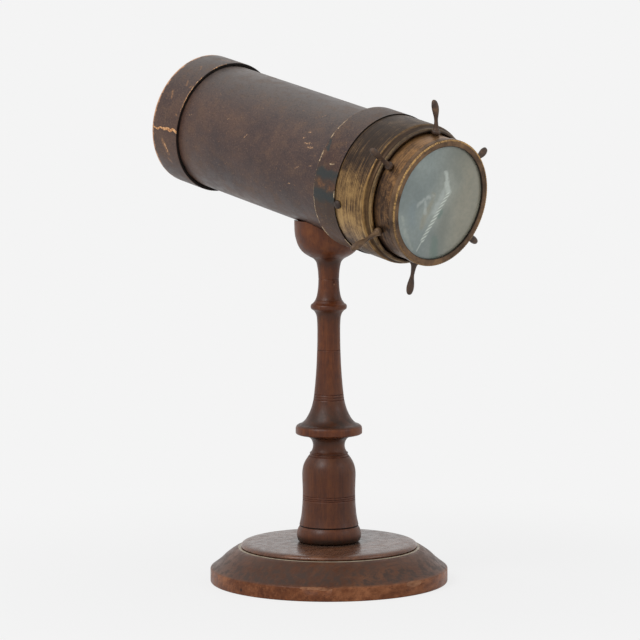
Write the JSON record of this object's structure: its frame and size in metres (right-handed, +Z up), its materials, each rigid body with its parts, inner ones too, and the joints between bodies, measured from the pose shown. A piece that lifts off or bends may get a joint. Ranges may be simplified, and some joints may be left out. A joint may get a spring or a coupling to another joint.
{
  "type": "table kaleidoscope",
  "caption": "Covered tube tilted on a turned wooden pedestal, with a spoked object box at its front that turns to tumble coloured glass before mirrors seen through an eyepiece.",
  "frame": {"origin": "centre of the base's underside", "axes": "+Z up through the stand; the tube lies in the plane X = 0 with the object box towards -Y and lower, the eyepiece towards +Y"},
  "size_m": [0.1586, 0.2493, 0.3495],
  "materials": {
    "walnut": "turned and stained, worn wax polish",
    "block_wood": "sawn, unfinished",
    "pasteboard": "rolled board",
    "leatherette": "smooth satin leatherette, lightly scuffed",
    "lid_paper": "paper-covered board, worn edges",
    "collar_paper": "paper-covered board, mottled",
    "black_card": "matte black",
    "aged_brass": "spun and aged, dull lacquer",
    "dark_bronze": "dark patina",
    "steel": "plain",
    "mirror_glass": "silvered",
    "clear_glass": "clear",
    "ground_glass": "ground, translucent",
    "white_glass": "opal, glossy",
    "amber_glass": "glossy",
    "blue_glass": "glossy",
    "red_glass": "glossy"
  },
  "bodies": {
    "stand_and_barrel": {"base_disc": "walnut", "base_step_disc": "walnut", "lower_pillar": "walnut", "upper_stem": "walnut", "saddle_block": "block_wood", "saddle_screw_rear": "steel", "saddle_screw_front": "steel", "pasteboard_tube": "pasteboard", "leatherette_cover": "leatherette", "lid_band": "lid_paper", "lid_disc": "lid_paper", "eyepiece": "aged_brass", "eye_lens": "clear_glass", "lens_ring": "aged_brass", "front_collar": "collar_paper", "packing_ring": "pasteboard", "brass_sleeve": "aged_brass", "sleeve_tack_1": "dark_bronze", "sleeve_tack_2": "dark_bronze", "sleeve_tack_3": "dark_bronze", "mirror_left": "mirror_glass", "mirror_right": "mirror_glass", "shade_board": "black_card", "mirror_disc_rear": "black_card", "mirror_disc_front": "black_card"},
    "object_box": {"drum_case": "aged_brass", "front_bezel": "aged_brass", "rear_glass": "clear_glass", "front_glass": "ground_glass", "cell_spacer": "pasteboard", "spoke_1": "dark_bronze", "spoke_2": "dark_bronze", "spoke_3": "dark_bronze", "spoke_4": "dark_bronze", "spoke_5": "dark_bronze", "spoke_6": "dark_bronze", "twist_rod": "white_glass", "ampoule_1": "amber_glass", "ampoule_2": "blue_glass", "ampoule_3": "red_glass", "bead_1": "red_glass", "bead_2": "white_glass", "bead_3": "amber_glass"}
  },
  "joints": [
    {"name": "wheel_spin", "type": "hinge", "parent": "stand_and_barrel", "child": "object_box", "pos_m": [0, 0, 0.27902], "axis": [0, -0.9789, -0.2045], "continuous": true}
  ]
}
